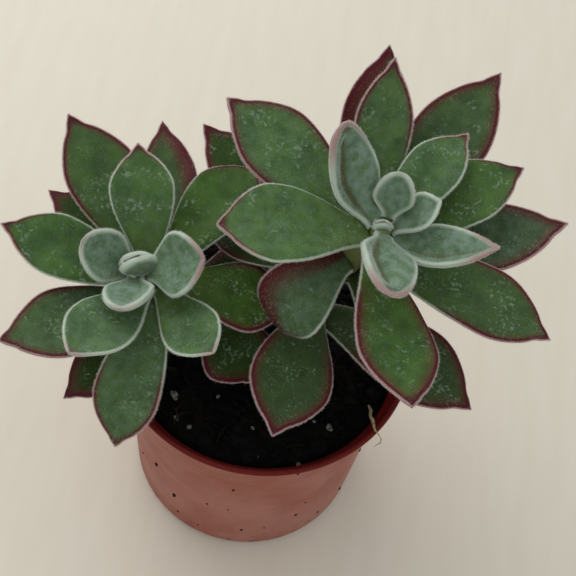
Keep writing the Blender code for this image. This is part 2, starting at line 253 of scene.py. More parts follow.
def pot_finish():
    """Dull terracotta plastic: dusty and paler on the wall, with faint scuffs, dark stains and soil splashes; painted
    shade makes it dark red inside the collar and on top of the lip, and darker near the bottom.
    """
    made, tree, shader = new_finish("pot_plastic", Specular_IOR_Level=0.18)
    place = place_in(tree)
    height = put(tree, "SeparateXYZ", {0: place}).outputs["Z"]
    colour = layer(tree, patches(tree, 22.0, 0.35, 0.65), (0.31, 0.095, 0.066), (0.37, 0.15, 0.115))
    streaks = ramp(tree, grain(tree, place, 1.2, 2.0, (9.0, 9.0, 0.5)), 0.60, 0.78, 0.4)
    colour = layer(tree, streaks, colour, (0.44, 0.22, 0.175))
    stains = reckon(tree, "MULTIPLY", patches(tree, 1.3, 0.62, 0.74), 0.5)
    colour = layer(tree, stains, colour, (0.17, 0.045, 0.03))
    # Soil splashes near the foot of the wall, darker towards the bottom, which is partly painted shade where the wall
    # meets the floor.
    splash_and_floor_shade = reckon(tree, "MULTIPLY", patches(tree, 3.0, 0.45, 0.7), ramp(tree, height, 0.016, 0.002, 0.7))
    colour = layer(tree, splash_and_floor_shade, colour, (0.15, 0.05, 0.035))
    # Painted shade: the inside of the collar and the top of the lip are painted dark red.
    inward = reckon(tree, "SUBTRACT", put(tree, "VectorMath", {0: put(tree, "VectorMath", {0: place, 1: (1, 1, 0)},
                    operation="MULTIPLY").outputs[0]}, operation="LENGTH").outputs["Value"],
                    reckon(tree, "MULTIPLY", height, COLLAR_LEAN))
    inside = ramp(tree, inward, COLLAR_MIDDLE * MM + 0.0003, COLLAR_MIDDLE * MM - 0.0003)
    lip_and_inside_shade = reckon(tree, "MAXIMUM", inside, ramp(tree, height, 0.0743, 0.0750))
    colour = layer(tree, lip_and_inside_shade, colour, (0.125, 0.006, 0.0035))
    feed(tree, shader.inputs["Base Color"], colour)
    rough = reckon(tree, "ADD", reckon(tree, "MULTIPLY", grain(tree, place, 6.0), 0.2), 0.42)
    feed(tree, shader.inputs["Roughness"], rough)
    fine = grain(tree, place, 0.5, 3.0, (1.0, 1.0, 4.0))
    feed(tree, shader.inputs["Normal"], bumped(tree, fine, 0.05, 0.4))
    return made


pot_points, pot_faces = revolved(pot_profile(), POT_SIDES)
pot = make_piece("pot_shell", pot_points, pot_faces, pot_finish(), "pot_plastic", "pot")
for hole in range(DRAIN_HOLES):
    hole_angle = math.radians(DRAIN_START_ANGLE) + math.tau * hole / DRAIN_HOLES
    hole_place = np.array((DRAIN_RING_RADIUS * math.cos(hole_angle), DRAIN_RING_RADIUS * math.sin(hole_angle), 0.0))
    rod_points, rod_faces = revolved([(0, -2), (DRAIN_RADIUS, -2), (DRAIN_RADIUS, 3.2), (0, 3.2)], 32)
    rod_mesh = bpy.data.meshes.new("drain_rod")
    rod_mesh.from_pydata(((rod_points + hole_place) * MM).tolist(), [], rod_faces)
    rod = bpy.data.objects.new("drain_rod", rod_mesh)
    bpy.context.scene.collection.objects.link(rod)
    cut = pot.modifiers.new("drain", "BOOLEAN")
    cut.object = rod
    cut.operation = "DIFFERENCE"
    drained = bpy.data.meshes.new_from_object(pot.evaluated_get(bpy.context.evaluated_depsgraph_get()))
    pot.modifiers.clear()
    pot.data = drained
    bpy.data.objects.remove(rod, do_unlink=True)
pot.data.set_sharp_from_angle(angle=math.radians(40))

# The soil. Dark damp peat that was pressed in by hand, to a little below the lip: a lumpy surface with loose
# crumbs, bark fibres and a few white grains of perlite, and some of it dried on the pot's wall in small specks.
SOIL_TOP = 71.5
SOIL_DOME = 1.0
SOIL_EDGE_DROP = 1.0
SOIL_LUMP = 0.7
SOIL_GRAIN = 5.0
SOIL_PLACE_IN_NOISE = 4.0
SOIL_CLEARANCE = 0.3
SOIL_RINGS = 84
SOIL_SIDES = 300
CRUMBS = 820
FIBRES = 46
PERLITE = ((-20.5, -22.7, 1.5), (-18.9, -28.8, 0.8), (-14.9, -30.7, 0.9), (18.3, -22.0, 0.6), (22.7, -23.0, 1.1),
           (5.4, -35.4, 0.7), (16.2, -35.1, 0.9), (-9.0, -20.0, 0.6), (2.0, -27.5, 0.7), (29.0, -9.0, 0.8),
           (6.0, 31.0, 1.0), (-25.0, 12.0, 0.9), (20.0, 24.0, 0.8), (-12.0, 28.0, 1.2))
WALL_SPECKS = ((229, 34.7, 1.3), (241, 23.0, 1.4), (270, 51.0, 0.8), (277, 15.4, 0.9), (259, 32.5, 0.7),
               (243, 10.1, 0.8), (269, 32.7, 0.6), (288, 17.0, 0.6), (255, 9.0, 0.6), (303, 23.0, 0.9),
               (306, 32.4, 0.6), (296, 63.2, 0.7), (215, 24.7, 0.7), (335, 13.3, 1.2), (319, 10.9, 0.9),
               (338, 42.0, 1.1), (333, 55.0, 0.9), (20, 30.0, 0.9), (75, 18.0, 1.1), (130, 44.0, 0.8), (160, 25.0, 0.9))


def soil_height(x, y):
    """The lumpy top of the soil, a little higher in the middle, with crumbs of two sizes."""
    lumps = noise.fractal(Vector((x / SOIL_GRAIN, y / SOIL_GRAIN, SOIL_PLACE_IN_NOISE)), 1.0, 2.0, 2)
    dome = 1 - (math.hypot(x, y) / NECK_RADIUS) ** 2
    cells = noise.noise(Vector((x / 2.2, y / 2.2, 7.0)), noise_basis="VORONOI_F1")
    small = noise.noise(Vector((x / 0.9, y / 0.9, 2.0)), noise_basis="VORONOI_F1")
    return SOIL_TOP + SOIL_DOME * max(dome, 0.0) + SOIL_LUMP * lumps - 0.8 * cells - 0.35 * small


def lump(seed, detail):
    """Points and faces of a stone-like lump of radius 1, from a ball of triangles with a noisy surface."""
    shape = lumps_made.setdefault(detail, ball_shape(detail))
    directions = shape[0]
    swell = [1 + 0.5 * noise.noise(Vector(d * 1.3) + Vector((seed, 0, 0))) for d in directions]
    return directions * np.array(swell)[:, None], shape[1]


def ball_shape(detail):
    """Directions and triangles of a ball that is divided this many times."""
    ball = bmesh.new()
    bmesh.ops.create_icosphere(ball, subdivisions=detail, radius=1.0)
    directions = np.array([tuple(v.co) for v in ball.verts])
    faces = np.array([[v.index for v in f.verts] for f in ball.faces])
    ball.free()
    return directions, faces


lumps_made = {}


def turned(points, draw):
    """The points turned a random way."""
    way = Vector(draw.normal(size=3)).normalized()
    turn = np.array(Matrix.Rotation(draw.uniform(0, math.tau), 3, way))
    return points @ turn.T


def gathered(bodies):
    """Several bodies of points and triangles as one."""
    points, faces, shift = [], [], 0
    for body_points, body_faces in bodies:
        points.append(body_points)
        faces.append(np.asarray(body_faces) + shift)
        shift += len(body_points)
    return np.concatenate(points), np.concatenate(faces).tolist()


def soil_finish(name, dark, light):
    """Damp peat: near black, browner where it has dried, rough and without shine."""
    made, tree, shader = new_finish(name, Specular_IOR_Level=0.12)
    dry = patches(tree, 7.0, 0.45, 0.7)
    colour = layer(tree, dry, dark, light)
    colour = layer(tree, patches(tree, 0.8, 0.62, 0.7), colour, tuple(2.2 * c for c in light))
    feed(tree, shader.inputs["Base Color"], colour)
    place = place_in(tree)
    feed(tree, shader.inputs["Roughness"], reckon(tree, "ADD", 0.7, ramp(tree, grain(tree, place, 5.0), 0.4, 0.6, 0.25)))
    feed(tree, shader.inputs["Normal"], bumped(tree, grain(tree, place, 0.35, 5.0), 0.25))
    return made


soil_skin = soil_finish("peat", (0.0016, 0.0013, 0.001), (0.0052, 0.0036, 0.0025))
collar_slope = (COLLAR_TOP_RADIUS - COLLAR_WALL - NECK_RADIUS + POT_WALL) / (COLLAR_TOP_Z - NECK_Z)
soil_neck = NECK_RADIUS - POT_WALL - SOIL_CLEARANCE
soil_edge_z = SOIL_TOP - SOIL_EDGE_DROP
soil_edge = soil_neck + collar_slope * (soil_edge_z - NECK_Z)
soil_top = [(soil_neck * share, SOIL_TOP) for share in np.linspace(0.985, 0.012, SOIL_RINGS)]
soil_side = [(POT_BASE_RADIUS - POT_WALL - 2.0, POT_WALL + SOIL_CLEARANCE),
             (POT_BASE_RADIUS - POT_WALL - SOIL_CLEARANCE, POT_CORNER), (soil_neck, NECK_Z), (soil_edge, soil_edge_z)]
soil_points, soil_faces = revolved(
    [(0.0, POT_WALL + SOIL_CLEARANCE), *soil_side, *soil_top, (0.0, SOIL_TOP)], SOIL_SIDES)
for point in soil_points:
    if point[2] == SOIL_TOP:
        point[2] = soil_height(point[0], point[1])
soil = make_piece("soil_bed", soil_points, soil_faces, soil_skin, "soil", "soil")

soil_draw = np.random.default_rng(11)
crumbs = []
for order in range(CRUMBS):
    reach = 37.0 * math.sqrt(soil_draw.uniform())
    angle = soil_draw.uniform(0, math.tau)
    x, y = reach * math.cos(angle), reach * math.sin(angle)
    size = 0.35 + 1.25 * soil_draw.uniform() ** 3
    body, faces = lump(order * 3.7, 2)
    shape = size * soil_draw.uniform((0.8, 0.5, 0.35), (1.6, 1.0, 0.8))
    z = soil_height(x, y) + 0.25 * size
    crumbs.append((turned(body * shape, soil_draw) + (x, y, z), faces))
soil_crumbs = make_piece("soil_crumbs", *gathered(crumbs), soil_skin, "soil")

fibre_skin = soil_finish("fibre", (0.012, 0.007, 0.004), (0.04, 0.022, 0.011))


def rope(points, radii, sides=6):
    """A thin bent rod through points, whose radius changes along it, closed at both ends."""
    points = np.asarray(points, float)
    rings = []
    for i, centre in enumerate(points):
        way = points[min(i + 1, len(points) - 1)] - points[max(i - 1, 0)]
        way /= np.linalg.norm(way)
        side = np.cross(way, (0.31, 0.17, 0.94) if abs(way[2]) < 0.8 else (1.0, 0.2, 0.0))
        side /= np.linalg.norm(side)
        other = np.cross(way, side)
        for j in range(sides):
            turn = math.tau * j / sides
            rings.append(centre + radii[i] * (math.cos(turn) * side + math.sin(turn) * other))
    faces = []
    for quad in ring_faces(len(points), sides, capped=False):
        faces += [(quad[0], quad[1], quad[2]), (quad[0], quad[2], quad[3])]
    top = (len(points) - 1) * sides
    for j in range(1, sides - 1):
        faces += [(0, j + 1, j), (top, top + j, top + j + 1)]
    return np.array(rings), np.array(faces)


fibres = []
for order in range(FIBRES):
    reach, angle = 35.0 * math.sqrt(soil_draw.uniform()), soil_draw.uniform(0, math.tau)
    x, y = reach * math.cos(angle), reach * math.sin(angle)
    heading, length = soil_draw.uniform(0, math.tau), soil_draw.uniform(2.5, 8.0)
    bend = soil_draw.uniform(-0.9, 0.9)
    line = []
    for step in np.linspace(-0.5, 0.5, 6):
        px = x + length * step * math.cos(heading + bend * step)
        py = y + length * step * math.sin(heading + bend * step)
        line.append((px, py, soil_height(px, py) + 0.35 + 0.5 * math.cos(3 * step)))
    thick = soil_draw.uniform(0.08, 0.3)
    if max(math.hypot(p[0], p[1]) for p in line) < 37.0:
        fibres.append(rope(line, thick * np.array((0.5, 1.0, 1.0, 0.9, 0.8, 0.3))))
soil_fibres = make_piece("soil_fibres", *gathered(fibres), fibre_skin, "soil")

perlite_skin, perlite_tree, perlite_shader = new_finish("perlite", Roughness=0.85)
perlite_colour = layer(perlite_tree, patches(perlite_tree, 0.9, 0.4, 0.65), (0.20, 0.195, 0.19), (0.04, 0.035, 0.03))
feed(perlite_tree, perlite_shader.inputs["Base Color"], perlite_colour)
feed(perlite_tree, perlite_shader.inputs["Normal"],
     bumped(perlite_tree, grain(perlite_tree, place_in(perlite_tree), 0.4), 0.2))
grains = []
for order, (x, y, size) in enumerate(PERLITE):
    body, faces = lump(50 + order * 2.3, 3)
    grains.append((turned(body * size * np.array((1.0, 0.8, 0.6)), soil_draw)
                   + (x, y, soil_height(x, y) + 0.3 * size), faces))
perlite = make_piece("perlite_grains", *gathered(grains), perlite_skin, "soil")

specks = []
for order, (angle, z, size) in enumerate(WALL_SPECKS):
    body, faces = lump(90 + order * 1.9, 2)
    flat = body * size * np.array((0.25, 0.45, 0.75))
    turn = math.radians(angle)
    out, along = np.array((math.cos(turn), math.sin(turn), 0)), np.array((-math.sin(turn), math.cos(turn), 0))
    centre = out * (wall_radius(z) + 0.05 * size) + (0, 0, z)
    specks.append((centre + flat[:, :1] * out + flat[:, 1:2] * along + flat[:, 2:] * (0, 0, 1), faces))
wall_specks = make_piece("wall_specks", *gathered(specks), soil_skin, "soil")

straw_skin, straw_tree, straw_shader = new_finish("straw", Roughness=0.7)
straw_colour = layer(straw_tree, patches(straw_tree, 1.0, 0.4, 0.6), (0.42, 0.33, 0.20), (0.22, 0.14, 0.07))
feed(straw_tree, straw_shader.inputs["Base Color"], straw_colour)
straw_line = ((32.4, -14.4, 73.2), (33.2, -16.6, 74.4), (33.0, -18.4, 75.4), (33.9, -20.4, 76.3), (34.4, -22.4, 77.0),
              (35.0, -23.6, 76.9))
curl_line = ((34.7, -23.2, 76.9), (35.9, -24.0, 76.4), (37.0, -24.6, 75.0), (37.0, -25.2, 73.6), (36.1, -25.6, 72.6),
             (35.7, -25.8, 71.6))
straws = [rope(straw_line, (0.25, 0.5, 0.42, 0.55, 0.35, 0.2), 8),
          rope(curl_line, (0.16, 0.14, 0.13, 0.13, 0.1, 0.06))]
dry_root = make_piece("dry_root", *gathered(straws), straw_skin, "soil")

# The stems. Each is one fleshy shoot that has leaned towards the light, greenish at its crown and corky and brown
# below, with scars where old leaves fell. It is planted upright in the soil, and its leaves grow from it in a spiral.
STEM_RADIUS = 3.4
STEM_CROWN_RADIUS = 2.2
STEM_TAPER_SHARE = 0.4
STEM_SIDES = 28
STEM_RINGS = 90
STEM_TOP = 1.2
STEM_FOOT_Z = 60.0
GOLDEN_ANGLE = 137.5

Leaf = namedtuple("Leaf", "age offset level rise tip_rise length width twist plump blunt frost blush groove")
Rosette = namedtuple("Rosette", "side foot bend crown heading bud leaves")

# Leaves from the youngest to the oldest, in degrees and millimetres. Plump, blunt, frost and blush run from 0 to 1:
# how swollen, how round-ended, how frosted and how red a leaf is. Groove is the depth of the fold in its upper
# face, from 0 to 1, and is negative where the fold lies on the leaf's right.
LEFT_LEAVES = (
    Leaf(0, -18, 2.2, 21, 40, 16.5, 13, 14, 1.0, 0.9, 1.0, 0.1, 0.5),
    Leaf(1, 32.5, 2.9, 39, 46, 17.5, 14, -25, 0.4, 1.0, 0.95, 0.1, 0.15),
    Leaf(2, -17, 4.5, 40, 45, 18.5, 17, 30, 0.5, 0.6, 0.8, 0.25, 0.1),
    Leaf(3, 10.5, 6.0, 3, 28, 31.5, 18, 2, 0.1, 0.4, 0.35, 0.12, 0.0),
    Leaf(4, 12, 5.8, 42, 34, 31.5, 17, -10, 0.0, 0.0, 0.2, 0.25, 0.0),
    Leaf(5, -11, 9.6, 5, 40, 30.5, 15, 17, 0.0, 0.3, 0.3, 0.12, 0.0),
    Leaf(6, -4, 8.2, 12, 22, 40.5, 17, -14, 0.0, 0.0, 0.15, 0.3, 0.0),
    Leaf(7, 15, 10.2, 37, -11, 38.5, 18, 0, 0.0, 0.0, 0.05, 0.4, 0.0),
    Leaf(8, -5, 11.4, 0, -65, 44, 17.5, 0, 0.0, 0.0, 0.3, 0.6, 0.0),
    Leaf(9, 6.5, 12.5, 14, 30, 50.5, 20, -13, 0.0, 0.0, 0.15, 0.65, 0.0),
    Leaf(10, 8, 13.0, -8, -15, 29.5, 20, 5, 0.0, 0.0, 0.0, 0.7, 0.0),
    Leaf(11, -4.5, 14.5, 0, 5, 44.5, 20, -5, 0.0, 0.0, 0.2, 0.7, 0.0),
    Leaf(12, 31.5, 17.5, 10, 9, 48.5, 15, 0, 0.0, 0.0, 0.1, 0.95, 0.0),
    Leaf(14, -8, 18.5, 5, 10, 45, 17, 0, 0.0, 0.0, 0.0, 0.8, 0.0),
    Leaf(15, 14, 19.0, -14, -10, 30, 16, 0, 0.0, 0.0, 0.0, 0.9, 0.0),
    Leaf(16, -20.5, 21.5, -5, -20, 39, 17, 0, 0.0, 0.0, 0.0, 0.85, 0.0),
    Leaf(18, -16, 27.0, -15, -15, 21, 20, 5, 0.0, 0.0, 0.0, 0.8, 0.0),
)
RIGHT_LEAVES = (
    Leaf(-4, -14, 0.5, 60, 75, 13, 10.5, 0, 0.9, 1.0, 1.0, 0.0, 0.1),
    Leaf(-1, -28, 2.2, 47, 45, 15, 10.5, 0, 0.0, 0.3, 0.9, 0.0, 0.0),
    Leaf(0, 7.5, 2.0, 25, 22, 24.5, 15, -20, 1.0, 1.0, 1.0, 0.3, -1.0),
    Leaf(1, 14.5, 3.0, 38, 82, 30, 14.5, -5, 1.0, 0.9, 1.0, 0.35, 1.0),
    Leaf(2, -7, 4.0, 8, 45, 29.5, 12.5, 5, 1.0, 0.3, 1.0, 0.35, -0.6),
    Leaf(3, -21.5, 5.8, 14, 5, 38, 22, -5, 0.0, 0.2, 0.25, 0.3, 0.0),
    Leaf(4, -24.5, 6.0, 35, 15, 33, 15, 0, 0.1, 0.0, 0.25, 0.25, 0.0),
    Leaf(5, -14.5, 7.5, -15, 22, 46, 21, -12, 0.0, 0.2, 0.1, 0.85, 0.0),
    Leaf(6, -13.5, 9.0, 20, 18, 47.5, 22, -5, 0.0, 0.0, 0.25, 0.75, 0.0),
    Leaf(7, 6.5, 10.0, 20, 14, 42, 18, 4, 0.0, 0.0, 0.1, 0.3, 0.0),
    Leaf(9, -21, 13.2, 40, 36, 46.5, 15, 0, 0.0, 0.0, 0.2, 0.55, 0.0),
    Leaf(10, 11.5, 13.5, 8, -18, 50.5, 19, 10, 0.0, 0.0, 0.15, 0.65, 0.0),
    Leaf(11, 30, 17.5, 12, -88, 28, 20, -10, 0.0, 0.6, 0.4, 1.0, 0.0),
    Leaf(12, -0.5, 15.7, 20, 31, 58, 21, 8, 0.0, 0.0, 0.15, 0.8, 0.0),
    Leaf(14, -0.5, 24.0, -8, 24, 51.5, 20, -5, 0.0, 0.0, 0.0, 0.7, 0.0),
    Leaf(15, 10, 18.8, 5, 20, 54, 20, 5, 0.0, 0.0, 0.3, 0.85, 0.0),
    Leaf(17, -2.5, 20.5, 26, 32, 55.5, 19, 8, 0.0, 0.0, 0.05, 1.0, 0.0),
    Leaf(18, 5, 22.0, -15, -45, 27, 17, 0, 0.0, 0.0, 0.0, 0.6, 0.0),
    Leaf(19, -7, 28.5, 0, -6, 33, 13, 0, 0.0, 0.0, 0.0, 0.5, 0.0),
    Leaf(21, 1.5, 41.0, 14, 0, 41.5, 22, -10, 0.0, 0.0, 0.1, 0.8, 0.0),
    Leaf(23, -13.5, 43.0, 18, -15, 48.5, 22, 5, 0.0, 0.0, 0.1, 0.8, 0.0),
)
REDDER_SIDE = {("right", 17): 0.9, ("right", 11): -0.8, ("left", 12): -0.4}
ROSETTES = (
    Rosette("left", (-8, -2, 74), (-16, -2, 92), (-37, -4.5, 106), 287.5, 1.0, LEFT_LEAVES),
    Rosette("right", (8, 4, 74), (13, 9, 94), (25.5, 9, 127), 270, 0.5, RIGHT_LEAVES),
)


def stem_line(rosette, steps=60):
    """Points along a stem from its crown down to the soil, a smooth bend."""
    foot, bend, crown = (np.array(p, float) for p in (rosette.foot, rosette.bend, rosette.crown))
    share = np.linspace(0, 1, steps)[:, None]
    return crown * (1 - share) ** 2 + 2 * bend * share * (1 - share) + foot * share**2


def stem_levels(line):
    """How far each point of a stem's line is below the crown, along the line."""
    return np.concatenate([[0.0], np.cumsum(np.linalg.norm(np.diff(line, axis=0), axis=1))])


def stem_place(rosette, level):
    """The stem's centre, its way down and its radius, at a distance down from the crown."""
    line = stem_line(rosette)
    levels = stem_levels(line)
    centre = np.array([np.interp(level, levels, line[:, axis]) for axis in range(3)])
    after = np.array([np.interp(level + 1.0, levels, line[:, axis]) for axis in range(3)])
    down = (after - centre) / np.linalg.norm(after - centre)
    share = min(level / levels[-1] / STEM_TAPER_SHARE, 1.0)
    return centre, down, STEM_CROWN_RADIUS + (STEM_RADIUS - STEM_CROWN_RADIUS) * share


def leaf_ways(rosette, leaf):
    """The way a leaf points, seen from above, and the way to its left."""
    heading = math.radians(rosette.heading - GOLDEN_ANGLE * leaf.age + leaf.offset)
    out = np.array((math.cos(heading), math.sin(heading), 0.0))
    return out, np.array((-math.sin(heading), math.cos(heading), 0.0))


def stem_scars(rosette):
    """Where leaves grow or have fallen: a level below the crown and a way out for each."""
    levels = np.interp(range(30), [leaf.age for leaf in rosette.leaves], [leaf.level for leaf in rosette.leaves])
    length = stem_levels(stem_line(rosette))[-1]
    scars = [(leaf.level, leaf_ways(rosette, leaf)[0]) for leaf in rosette.leaves]
    for age in range(rosette.leaves[-1].age + 1, 30):
        level = levels[-1] + 2.6 * (age - rosette.leaves[-1].age)
        if level < length:
            turn = math.radians(rosette.heading - GOLDEN_ANGLE * age)
            scars.append((level, np.array((math.cos(turn), math.sin(turn), 0.0))))
    return scars


def make_stem(rosette, finish):
    """A stem with swollen leaf scars, from just under its bud into the soil."""
    length = stem_levels(stem_line(rosette))[-1]
    scars = stem_scars(rosette)
    rings, heights, scarred = [], [], []
    for level in np.linspace(STEM_TOP, length + rosette.foot[2] - STEM_FOOT_Z, STEM_RINGS):
        centre, down, radius = stem_place(rosette, min(level, length - 1.0))
        if level > length - 1.0:
            centre = np.array((rosette.foot[0], rosette.foot[1], rosette.foot[2] + length - level))
            down, radius = np.array((0.0, 0.0, -1.0)), STEM_RADIUS
        side = np.cross((0.0, 1.0, 0.0), down)
        side /= np.linalg.norm(side)
        other = np.cross(down, side)
        for i in range(STEM_SIDES):
            turn = math.tau * i / STEM_SIDES
            way = math.cos(turn) * side + math.sin(turn) * other
            swell, scar = 0.0, 0.0
            for scar_level, scar_way in scars:
                off = (level - scar_level - 0.6) / 1.1
                face = max(way @ scar_way, 0.0) ** 4
                swell += 0.45 * face * math.exp(-off**2)
                scar = max(scar, face * math.exp(-((off + 0.5) * 1.6) ** 2))
            bark = noise.fractal(Vector(centre * 0.3 + way), 1.0, 2.0, 3)
            rings.append(centre + way * (radius + swell + 0.14 * bark - 0.1))
            heights.append(level / length)
            scarred.append(scar)
    name = f"{rosette.side}_stem"
    stem = make_piece(f"{name}_shoot", rings, ring_faces(STEM_RINGS, STEM_SIDES), finish, "stem_skin", name)
    mark(stem, "down", heights)
    mark(stem, "scar", scarred)


def stem_finish():
    """Skin of a shoot: yellow-green at the crown, olive and then corky brown below, paler at the leaf scars."""
    made, tree, shader = new_finish("shoot_skin", Specular_IOR_Level=0.35)
    down = put(tree, "Attribute", {}, attribute_name="down").outputs["Fac"]
    scar = put(tree, "Attribute", {}, attribute_name="scar").outputs["Fac"]
    colour = layer(tree, ramp(tree, down, 0.1, 0.55), (0.16, 0.20, 0.06), (0.10, 0.085, 0.03))
    cork = reckon(tree, "MULTIPLY", patches(tree, 1.6, 0.42, 0.6), ramp(tree, down, 0.2, 0.9, 0.85))
    colour = layer(tree, cork, colour, (0.085, 0.05, 0.03))
    colour = layer(tree, ramp(tree, scar, 0.3, 0.8, 0.6), colour, (0.19, 0.135, 0.085))
    feed(tree, shader.inputs["Base Color"], colour)
    place = place_in(tree)
    feed(tree, shader.inputs["Roughness"], reckon(tree, "ADD", 0.55, ramp(tree, down, 0.1, 0.6, 0.3)))
    feed(tree, shader.inputs["Normal"], bumped(tree, grain(tree, place, 0.7, 4.0), 0.12))
    return made


shoot_skin = stem_finish()
for rosette in ROSETTES:
    make_stem(rosette, shoot_skin)

# The leaves. Thick, juicy, spoon-shaped blades in a spiral round each stem, each grown in one piece from its stem.
# Young ones are pale and frosted with down, with swollen rims. Old ones are dark green with a dark red margin, and the
# older, lower ones are darkened further by painted shade from the leaves above.
LEAF_FOOT_WIDTH = 0.36
LEAF_PEAK = 0.62
LEAF_SPOON = 1.5
LEAF_THICKNESS = 0.21
LEAF_ENDS_THICKNESS = 0.75
LEAF_TIP_THINNING = 0.6
PLUMP_PEAK_SHIFT = 0.2
PLUMP_THICKENING = 0.45
BLUNT_ROUNDING = 0.55
BLUNT_TIP_KEPT = 0.7
LEAF_CUP = 0.2
LEAF_FOOT_PUSH = 0.2
LEAF_GAP = 0.3
LEAF_ROOT = 0.035
LEAF_STATIONS = 62
UPPER_SIDES = 32
LOWER_SIDES = 16
LEAF_SIDES = UPPER_SIDES + LOWER_SIDES


def leaf_outline(leaf, share):
    """Half of a blade's width at shares of its length, in millimetres."""
    share = np.clip(share, 0.0, 1.0)
    peak = LEAF_PEAK - PLUMP_PEAK_SHIFT * leaf.plump
    swell = np.sin(math.pi / 2 * np.minimum(share / peak, 1.0)) ** LEAF_SPOON
    narrow = np.cos(math.pi / 2 * np.clip((share - peak) / (1 - peak), 0.0, 1.0))
    narrow = np.maximum(narrow, 0.0) ** (1 - BLUNT_ROUNDING * leaf.blunt)
    pinch = 0.05 * max(1 - 2 * leaf.blunt, 0.0) * np.exp(-(((share - 0.92) / 0.03) ** 2))
    return leaf.width / 2 * ((LEAF_FOOT_WIDTH + (1 - LEAF_FOOT_WIDTH) * swell) * narrow - pinch)


def leaf_grid(rosette, leaf, seed, gap=LEAF_GAP):
    """Points of a blade by station and side, its own marks, and its ways across, up and ahead at each station."""
    out, left = leaf_ways(rosette, leaf)
    upright = np.array((0.0, 0.0, 1.0))
    centre, down, radius = stem_place(rosette, leaf.level)
    outward = out - down * (out @ down)
    outward /= np.linalg.norm(outward)
    foot = centre + outward * (radius + gap + LEAF_FOOT_PUSH * LEAF_THICKNESS * leaf.width)
    spread = np.linspace(0, 1, LEAF_STATIONS)
    share = -LEAF_ROOT + (1 + LEAF_ROOT) * (0.65 * spread + 0.35 * np.sin(math.pi / 2 * spread))
    start, turn = math.radians(leaf.rise), math.radians(leaf.tip_rise - leaf.rise)
    turn = turn if abs(turn) > 1e-4 else 1e-4
    slope = start + turn * share
    run = leaf.length * (np.sin(slope) - math.sin(start)) / turn
    lift = leaf.length * (math.cos(start) - np.cos(slope)) / turn
    middle = foot + run[:, None] * out + lift[:, None] * upright
    ahead = np.cos(slope)[:, None] * out + np.sin(slope)[:, None] * upright
    twist = math.radians(leaf.twist)
    across = math.cos(twist) * left + math.sin(twist) * np.cross(ahead, left)
    up = np.cross(ahead, across)

    half = np.maximum(leaf_outline(leaf, share), 0.22)
    belly = np.sin(math.pi * np.clip(share, 0, 1))
    thick = LEAF_ENDS_THICKNESS + (1 - LEAF_ENDS_THICKNESS + PLUMP_THICKENING * leaf.plump) * belly
    thinning = LEAF_TIP_THINNING * (1 - BLUNT_TIP_KEPT * leaf.blunt)
    thick = LEAF_THICKNESS * leaf.width * thick * (1 - thinning * np.clip(share, 0, 1) ** 3)
    thick = thick * np.clip((1 - share) / (0.04 + 0.05 * leaf.plump), 0.15, 1.0) ** 0.5
    turns = np.concatenate([np.linspace(0, math.pi, UPPER_SIDES, endpoint=False),
                            np.linspace(math.pi, math.tau, LOWER_SIDES, endpoint=False)])
    side, rise = np.cos(turns), np.sin(turns)
    bulge = np.sign(rise) * np.abs(rise) ** (0.9 - 0.3 * leaf.plump)
    hollow = (0.35 + 0.35 * leaf.frost) * (1 - abs(leaf.groove))
    dish = np.where(rise > 0, 1 - hollow * rise**4, 1 + 0.12 * rise**2)
    x = half[:, None] * side
    z = thick[:, None] / 2 * bulge * dish
    fold = math.copysign(1.0, leaf.groove) * np.clip(0.8 * (1 - share), 0.0, 0.42)
    from_fold = side[None, :] - fold[:, None]
    groove = np.exp(-((from_fold / 0.17) ** 2)) * (rise > 0) * abs(leaf.groove)
    valley = np.exp(-((from_fold / 0.42) ** 2)) * (rise > 0) * abs(leaf.groove)
    fades = np.clip((0.93 - share) / 0.15, 0, 1) * np.clip(0.3 + share * 3, 0, 1)
    z = z - (thick * fades)[:, None] * (0.2 * groove + 0.42 * valley)
    z = z + LEAF_CUP * x**2 / (leaf.width / 2)
    length_mm = share * leaf.length
    for i in range(LEAF_STATIONS):
        wave = noise.noise(Vector((length_mm[i] / 11, seed, 0.0)))
        other_wave = noise.noise(Vector((length_mm[i] / 11, seed, 9.0)))
        lean = np.where(side > 0, wave, other_wave) * side**2
        z[i] += 0.028 * leaf.width * lean * min(max(share[i], 0) * 2, 1)
        for j in range(LEAF_SIDES):
            z[i, j] += 0.28 * noise.noise(Vector((x[i, j] / 4.5, length_mm[i] / 6, seed + 20)))
    points = middle[:, None, :] + x[..., None] * across[:, None, :] + z[..., None] * up[:, None, :]

    redder = REDDER_SIDE.get((rosette.side, leaf.age), 0.0)
    edge_share = np.linspace(0, 1, 160)
    edge_half = np.maximum(leaf_outline(leaf, edge_share), 0.0)
    edge = np.stack([np.concatenate([edge_half, -edge_half]), np.tile(edge_share * leaf.length, 2)], 1)
    flat = np.stack([x.ravel(), np.repeat(length_mm, LEAF_SIDES)], 1)
    rim = np.sqrt(((flat[:, None, :] - edge[None]) ** 2).sum(2)).min(1)
    marks = {
        "rim": rim,
        "along": np.repeat(share, LEAF_SIDES),
        "upper": np.tile(0.5 + 0.5 * bulge, LEAF_STATIONS),
        "groove": (groove * fades[:, None]).ravel(),
        "frost": np.full(x.size, leaf.frost),
        "blush": np.tile(np.clip(leaf.blush * (1 + redder * side), 0.0, 1.2), LEAF_STATIONS),
        # How old and how low a leaf is: its skin is darker for it, partly from age and partly as painted shade under
        # the leaves above.
        "old_and_shaded": np.full(x.size, min(max(leaf.age - 6, 0) / 10, 1.0)),
    }
    return points, marks, across, up, ahead


def read_mark(tree, name):
    """A number that is stored in the points of the piece."""
    return put(tree, "Attribute", {}, attribute_name=name).outputs["Fac"]


